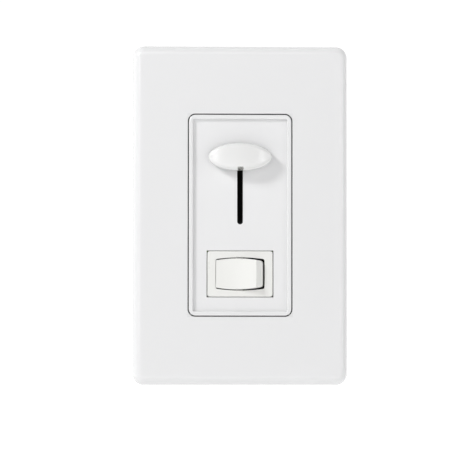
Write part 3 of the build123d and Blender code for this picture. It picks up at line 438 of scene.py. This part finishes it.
def lathe(rings, around):
    """Vertices and faces of rings of (radius, height) turned round Z, closed at both ends.

    A ring's radius may be a function of the angle.
    """
    verts, faces = [], []
    for radius, height in rings:
        for k in range(around):
            angle = 2 * math.pi * k / around
            r = radius(angle) if callable(radius) else radius
            verts.append((r * math.cos(angle), r * math.sin(angle), height))
    for ring in range(len(rings) - 1):
        for k in range(around):
            a, b = ring * around + k, ring * around + (k + 1) % around
            faces.append((a, b, b + around, a + around))
    faces.append(tuple(reversed(range(around))))
    last = (len(rings) - 1) * around
    faces.append(tuple(last + k for k in range(around)))
    return verts, faces


THREAD_STEPS = 10
AROUND = 40
# the thread's section, across one turn, and the chamfer of the tip
FLANK_SLOPE = 2.6
CREST_WIDTH = 0.15
TIP_SHARE = 0.72
TIP_SLOPE = 0.9


def thread_rings(top, bottom, major, pitch, depth):
    """Rings down a screw from top to bottom, with a helical thread and a chamfered tip."""
    rings = []
    count = int((top - bottom) / pitch * THREAD_STEPS)
    for k in range(count + 1):
        height = top + (bottom - top) * k / count

        def radius(angle, height=height):
            turn = (height / pitch - angle / (2 * math.pi)) % 1.0
            groove = min(1.0, max(0.0, FLANK_SLOPE * abs(turn - 0.5) - CREST_WIDTH))
            fade = min(1.0, (top - height) / pitch) * depth * groove
            return min(major - fade, major * TIP_SHARE + (height - bottom) * TIP_SLOPE)

        rings.append((radius, height))
    return rings


# length and width of the two bars, as shares of the head's radius
RECESS_BARS = ((2.4, 0.28), (0.26, 1.15))


def recess(head_r, depth, top):
    """The cutter of a combined slot and cross recess."""
    cutter = bmesh.new()
    for sx, sy in RECESS_BARS:
        made = bmesh.ops.create_cube(cutter, size=1.0)["verts"]
        bmesh.ops.scale(cutter, vec=(sx * head_r, sy * head_r, 2 * depth), verts=made)
        bmesh.ops.translate(cutter, vec=(0, 0, top), verts=made)
    mesh = bpy.data.meshes.new("recess")
    cutter.to_mesh(mesh)
    cutter.free()
    return mesh


def cut(mesh, cutter_mesh):
    """Take the cutter's pieces away from a mesh."""
    body = bpy.data.objects.new("cut_body", mesh)
    tool = bpy.data.objects.new("cut_tool", cutter_mesh)
    for item in (body, tool):
        bpy.context.scene.collection.objects.link(item)
    boolean = body.modifiers.new("recess", "BOOLEAN")
    boolean.object = tool
    boolean.operation = "DIFFERENCE"
    boolean.solver = "EXACT"
    boolean.use_self = True
    bpy.context.view_layer.update()
    evaluated = body.evaluated_get(bpy.context.evaluated_depsgraph_get())
    made = bpy.data.meshes.new_from_object(evaluated)
    for item in (body, tool):
        bpy.data.objects.remove(item)
    return made


# shares of the head's height and of the thread's outer radius
ROUNDED_SHARE = 0.45
RECESS_SHARE = 0.5
UNDERCUT = 0.86
THREAD_SHARE = 0.2
HEAD_STEPS = 6


def screw_mesh(head, head_h, shank_r, length, pitch=0.8 * MM, neck=None, flat=False):
    """A threaded screw along Z, its head on the origin plane, or flush under it if it is flat."""
    rings = []
    thread_top = 0.0
    if flat:
        rings += [(head, 0.0), (head, -0.15 * head_h), (shank_r, -head_h)]
        thread_top = -head_h - 0.1 * MM
    else:
        rim = ROUNDED_SHARE * head_h
        for step in range(HEAD_STEPS + 1):
            angle = math.radians(90 / HEAD_STEPS * step)
            rings.append((head - rim * (1 - math.sin(angle)), head_h - rim * (1 - math.cos(angle))))
        rings[0] = (head - rim, head_h)
        rings.append((head - 0.03 * MM, 0.02 * MM))
        rings.append((head - 0.08 * MM, 0.0))
    if neck:
        rings += [(neck[0], thread_top), (neck[0], thread_top - neck[1])]
        thread_top -= neck[1]
    rings.append((shank_r * UNDERCUT, thread_top - 0.01 * MM))
    rings += thread_rings(
        thread_top - 0.05 * MM, -length, shank_r, pitch, THREAD_SHARE * shank_r
    )
    verts, faces = lathe(list(reversed(rings)), AROUND)
    mesh = bpy.data.meshes.new("screw")
    mesh.from_pydata(verts, [], faces)
    top = 0.0 if flat else head_h
    return cut(mesh, recess(head, RECESS_SHARE * head_h, top))


def copies(name, mesh, places):
    """One mesh with a copy of another at each matrix."""
    joined = bmesh.new()
    for place in places:
        start = len(joined.verts)
        joined.from_mesh(mesh)
        joined.verts.ensure_lookup_table()
        bmesh.ops.transform(joined, matrix=place, verts=joined.verts[start:])
    made = bpy.data.meshes.new(name)
    joined.to_mesh(made)
    joined.free()
    return made


def facing(axis, turn):
    """The turn that lays a screw's Z along an axis, and rolls it about that by turn degrees."""
    return (
        Vector(axis).to_track_quat("Z", "Y").to_matrix().to_4x4()
        @ Matrix.Rotation(math.radians(turn), 4, "Z")
    )


def node_islands(node):
    """Lowest and highest corner of each separate solid of a CAD node, ordered by height."""
    bm = bmesh.new()
    bm.from_mesh(frame["nodes"][node].data)
    bmesh.ops.remove_doubles(bm, verts=bm.verts, dist=1e-7)
    left = set(bm.verts)
    boxes = []
    while left:
        stack = [left.pop()]
        found = [stack[0].co.copy()]
        while stack:
            for edge in stack.pop().link_edges:
                for vert in edge.verts:
                    if vert in left:
                        left.discard(vert)
                        stack.append(vert)
                        found.append(vert.co.copy())
        boxes.append(
            tuple(Vector(f(p[k] for p in found) for k in range(3)) for f in (min, max))
        )
    bm.free()
    return sorted(boxes, key=lambda corners: corners[0].z)


SCREW_TURNS = (8, 97, 31, 64)


def screws(name, node, slot, out, head_h, shank_r, flat=False, **form):
    """Threaded screws in place of a CAD node's plain ones. Their heads point along out."""
    out = Vector(out)
    raised = 0.0 if flat else head_h
    places = []
    for turn, (low, high) in zip(SCREW_TURNS, node_islands(node)):
        size = high - low
        along = abs(size.dot(out))
        seat = (low + high) / 2 + out * (along / 2 - raised)
        places.append(Matrix.Translation(seat) @ facing(out, turn))
    head = max(size[k] for k in range(3) if abs(out[k]) < 0.5) / 2
    mesh = screw_mesh(head, head_h, shank_r, along - raised, flat=flat, **form)
    return linked(name, copies(name, mesh, places), "dimmer", slot, node)


FRONT, REAR, LEFT, RIGHT = (0, -1, 0), (0, 1, 0), (-1, 0, 0), (1, 0, 0)
FINE = 0.5 * MM
screws(
    "box_screws_threaded",
    "device_screws",
    "zinc_steel",
    FRONT,
    1.8 * MM,
    1.75 * MM,
    neck=(1.45 * MM, 2.0 * MM),
)
screws(
    "plate_screws_threaded",
    "subplate_screws",
    "zinc_steel",
    FRONT,
    1.55 * MM,
    1.74 * MM,
    flat=True,
)
screws("ground_screw_threaded", "ground_screw", "green_steel", REAR, 2.2 * MM, 1.74 * MM)
screws("brass_screws_threaded", "terminal_screws", "brass", LEFT, 2.1 * MM, 1.74 * MM)
screws("black_screw_threaded", "common_screw", "black_steel", RIGHT, 2.1 * MM, 1.74 * MM)
screws("pot_screws_threaded", "pot_screws", "zinc_steel", FRONT, 1.2 * MM, 1.23 * MM, pitch=FINE)
screws("triac_screw_threaded", "triac_screw", "zinc_steel", FRONT, 1.7 * MM, 1.5 * MM, pitch=FINE)
screws(
    "case_screws_threaded",
    "housing_screws",
    "zinc_steel",
    FRONT,
    1.2 * MM,
    1.2 * MM,
    pitch=FINE,
    flat=True,
)


def wire(name, points, radius, body, slot, *nodes, sides=10):
    """A round wire along a list of points."""
    verts, faces = [], []
    normal = None
    for k, point in enumerate(points):
        tangent = (points[min(k + 1, len(points) - 1)] - points[max(k - 1, 0)]).normalized()
        if normal is None:
            normal = tangent.orthogonal().normalized()
        normal = (normal - tangent * normal.dot(tangent)).normalized()
        side = tangent.cross(normal)
        for s in range(sides):
            angle = 2 * math.pi * s / sides
            verts.append(point + (normal * math.cos(angle) + side * math.sin(angle)) * radius)
        if k:
            for s in range(sides):
                a, b = (k - 1) * sides + s, (k - 1) * sides + (s + 1) % sides
                faces.append((a, b, b + sides, a + sides))
    faces.append(tuple(reversed(range(sides))))
    faces.append(tuple(len(verts) - sides + s for s in range(sides)))
    mesh = bpy.data.meshes.new(name)
    mesh.from_pydata(verts, [], faces)
    return linked(name, mesh, body, slot, *nodes)


# the plunger's spring lies along the rocker's tilted depth, close-wound at its ends
ROCKER_TILT = math.radians(10.0)
rocker_out = Vector((-math.sin(ROCKER_TILT), -math.cos(ROCKER_TILT), 0.0))
rocker_across = Vector((math.cos(ROCKER_TILT), -math.sin(ROCKER_TILT), 0.0))
SPRING_LENGTH = 4.8 * MM
SPRING_R = 0.9 * MM
SPRING_WIRE_R = 0.16 * MM
SPRING_COILS = 8
SPRING_POINTS = 24 * SPRING_COILS
SPRING_CLOSING = 0.09
spring_low, spring_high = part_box("plunger_spring")
spring_middle = (spring_low + spring_high) / 2
spring_points = []
for k in range(SPRING_POINTS + 1):
    t = k / SPRING_POINTS
    rise = t - 0.5 - SPRING_CLOSING * math.sin(2 * math.pi * t)
    angle = 2 * math.pi * SPRING_COILS * t
    spring_points.append(
        spring_middle
        + rocker_out * (SPRING_LENGTH - 2 * SPRING_WIRE_R) * rise
        + rocker_across * SPRING_R * math.cos(angle)
        + Vector((0, 0, 1)) * SPRING_R * math.sin(angle)
    )
wire("plunger_spring_coil", spring_points, SPRING_WIRE_R, "rocker", "zinc_steel", "plunger_spring")

# the choke's winding: one layer of turns round the ring core
core_low, core_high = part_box("choke_core")
core_middle = (core_low + core_high) / 2
CORE_INNER_R = 5.2 * MM
WIRE_R = 0.42 * MM
WIRE_STAND = 0.5 * MM
TURNS = 29
TURN_POINTS = 28
WOUND_ANGLE = math.radians(335)
WINDING_MIDDLE = math.radians(90)
SQUARENESS = 6
half_radial = ((core_high.x - core_low.x) / 2 - CORE_INNER_R) / 2 + WIRE_STAND
half_depth = (core_high.y - core_low.y) / 2 + WIRE_STAND
mean_radius = ((core_high.x - core_low.x) / 2 + CORE_INNER_R) / 2
winding_points = []
for k in range(TURNS * TURN_POINTS + 1):
    t = k / TURN_POINTS
    loop = 2 * math.pi * t
    # a rounded rectangle round the core's section
    c, s = math.cos(loop), math.sin(loop)
    squareness = (abs(c) ** SQUARENESS + abs(s) ** SQUARENESS) ** (-1 / SQUARENESS)
    radius = mean_radius + half_radial * c * squareness
    depth = half_depth * s * squareness
    spread = WOUND_ANGLE * (t / TURNS - 0.5) + WINDING_MIDDLE
    winding_points.append(
        core_middle + Vector((radius * math.cos(spread), depth, radius * math.sin(spread)))
    )
wire(
    "choke_winding_turns",
    winding_points,
    WIRE_R,
    "dimmer",
    "enamelled_wire",
    "choke_winding",
    sides=8,
)


# ---- floor, light and camera --------------------------------------------------------------

PLATE_LOW, PLATE_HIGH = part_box("cover_plate")
FLOOR_Z = PLATE_LOW.z

# the camera looks from straight ahead, a little below the middle and to the left
CAMERA_DISTANCE = 1.0
AZIMUTH = math.radians(-1.843)
ELEVATION = math.radians(-2.28)
ROLL = math.radians(0.041)
CAMERA_SLIDE = (-0.000887, -0.007409)
SENSOR = 36.0
FOCAL_PIXELS = 2834.8
PICTURE_WIDTH = 474
FOCAL = FOCAL_PIXELS * SENSOR / PICTURE_WIDTH

back = Vector(
    (
        math.sin(AZIMUTH) * math.cos(ELEVATION),
        -math.cos(AZIMUTH) * math.cos(ELEVATION),
        math.sin(ELEVATION),
    )
)
level_right = Vector((0, 0, 1)).cross(back).normalized()
level_up = back.cross(level_right)
right = level_right * math.cos(ROLL) + level_up * math.sin(ROLL)
up = level_up * math.cos(ROLL) - level_right * math.sin(ROLL)

camera_data = bpy.data.cameras.new("camera")
camera_data.sensor_width = SENSOR
camera_data.lens = FOCAL
camera_data.clip_start = 0.05
camera_data.clip_end = 50.0
camera = bpy.data.objects.new("camera", camera_data)
bpy.context.scene.collection.objects.link(camera)
camera.matrix_world = Matrix.Translation(
    back * CAMERA_DISTANCE + right * CAMERA_SLIDE[0] + up * CAMERA_SLIDE[1]
) @ Matrix((right, up, back)).transposed().to_4x4()
bpy.context.scene.camera = camera


def area_light(name, azimuth, elevation, distance, size, power):
    """A soft box that looks at the object from a direction, in degrees."""
    a, e = math.radians(azimuth), math.radians(elevation)
    away = Vector((math.sin(a) * math.cos(e), -math.cos(a) * math.cos(e), math.sin(e)))
    data = bpy.data.lights.new(name, "AREA")
    data.shape = "RECTANGLE"
    data.size, data.size_y = size
    data.energy = power
    lamp = bpy.data.objects.new(name, data)
    bpy.context.scene.collection.objects.link(lamp)
    lamp.location = away * distance
    lamp.rotation_mode = "QUATERNION"
    lamp.rotation_quaternion = away.to_track_quat("Z", "Y")


# name, azimuth and elevation in degrees, distance, size, power
LIGHTS = (
    ("key", -54, 33, 1.2, (0.28, 0.28), 8.2),
    ("rim_left", -28, 2, 1.3, (0.05, 0.8), 1.3),
    ("right_strip", 58, 4, 1.2, (0.25, 0.9), 2.7),
    ("rim_right", 28, 2, 1.3, (0.05, 0.8), 1.7),
    ("rim_top", 0, 30, 1.3, (0.8, 0.05), 1.1),
)
for row in LIGHTS:
    area_light(*row)

# a pale studio all round: white behind the object, greyer beside it and dark in front of it;
# share of the way from straight in front to straight behind, and brightness
STUDIO = ((0.2, 0.06), (0.5, 0.66), (0.9, 0.8), (0.985, 1.0))
STUDIO_STRENGTH = 1.04
FLOOR_GLOW = 0.81
world = bpy.data.worlds.new("studio")
bpy.context.scene.world = world
world.use_nodes = True
wn, wl = world.node_tree.nodes, world.node_tree.links
split = wn.new("ShaderNodeSeparateXYZ")
wl.new(wn.new("ShaderNodeTexCoord").outputs["Generated"], split.inputs[0])
share = wn.new("ShaderNodeMapRange")
share.inputs["From Min"].default_value = -1.0
wl.new(split.outputs["Y"], share.inputs["Value"])
ramp = wn.new("ShaderNodeValToRGB")
wl.new(share.outputs["Result"], ramp.inputs["Fac"])
stops = ramp.color_ramp.elements
while len(stops) < len(STUDIO):
    stops.new(0.5)
for stop, (position, level) in zip(stops, STUDIO):
    stop.position = position
    stop.color = (level, level, level, 1.0)
wl.new(ramp.outputs["Color"], wn["Background"].inputs["Color"])
wn["Background"].inputs["Strength"].default_value = STUDIO_STRENGTH

floor_mesh = bpy.data.meshes.new("floor")
FLOOR_HALF = 6.0
floor_mesh.from_pydata(
    [
        (x * FLOOR_HALF, y * FLOOR_HALF, FLOOR_Z)
        for x, y in ((-1, -1), (1, -1), (1, 1), (-1, 1))
    ],
    [],
    [(0, 1, 2, 3)],
)
floor = bpy.data.objects.new("floor", floor_mesh)
bpy.context.scene.collection.objects.link(floor)
g = Graph("paper_floor")
paper = g.noise(0.004, detail=4.0)
floor_tone = g.blend(g.spread(paper, 0.3, 0.7), (0.18, 0.18, 0.18), (0.2, 0.2, 0.2))
g.finish(floor_tone, g.spread(paper, 0.3, 0.7, 0.5, 0.6), g.bump(paper, 1e-5))
g.shader.inputs["Emission Color"].default_value = (1, 1, 1, 1)
g.shader.inputs["Emission Strength"].default_value = FLOOR_GLOW
floor_mesh.materials.append(g.material)

bpy.context.scene.view_settings.view_transform = "Standard"
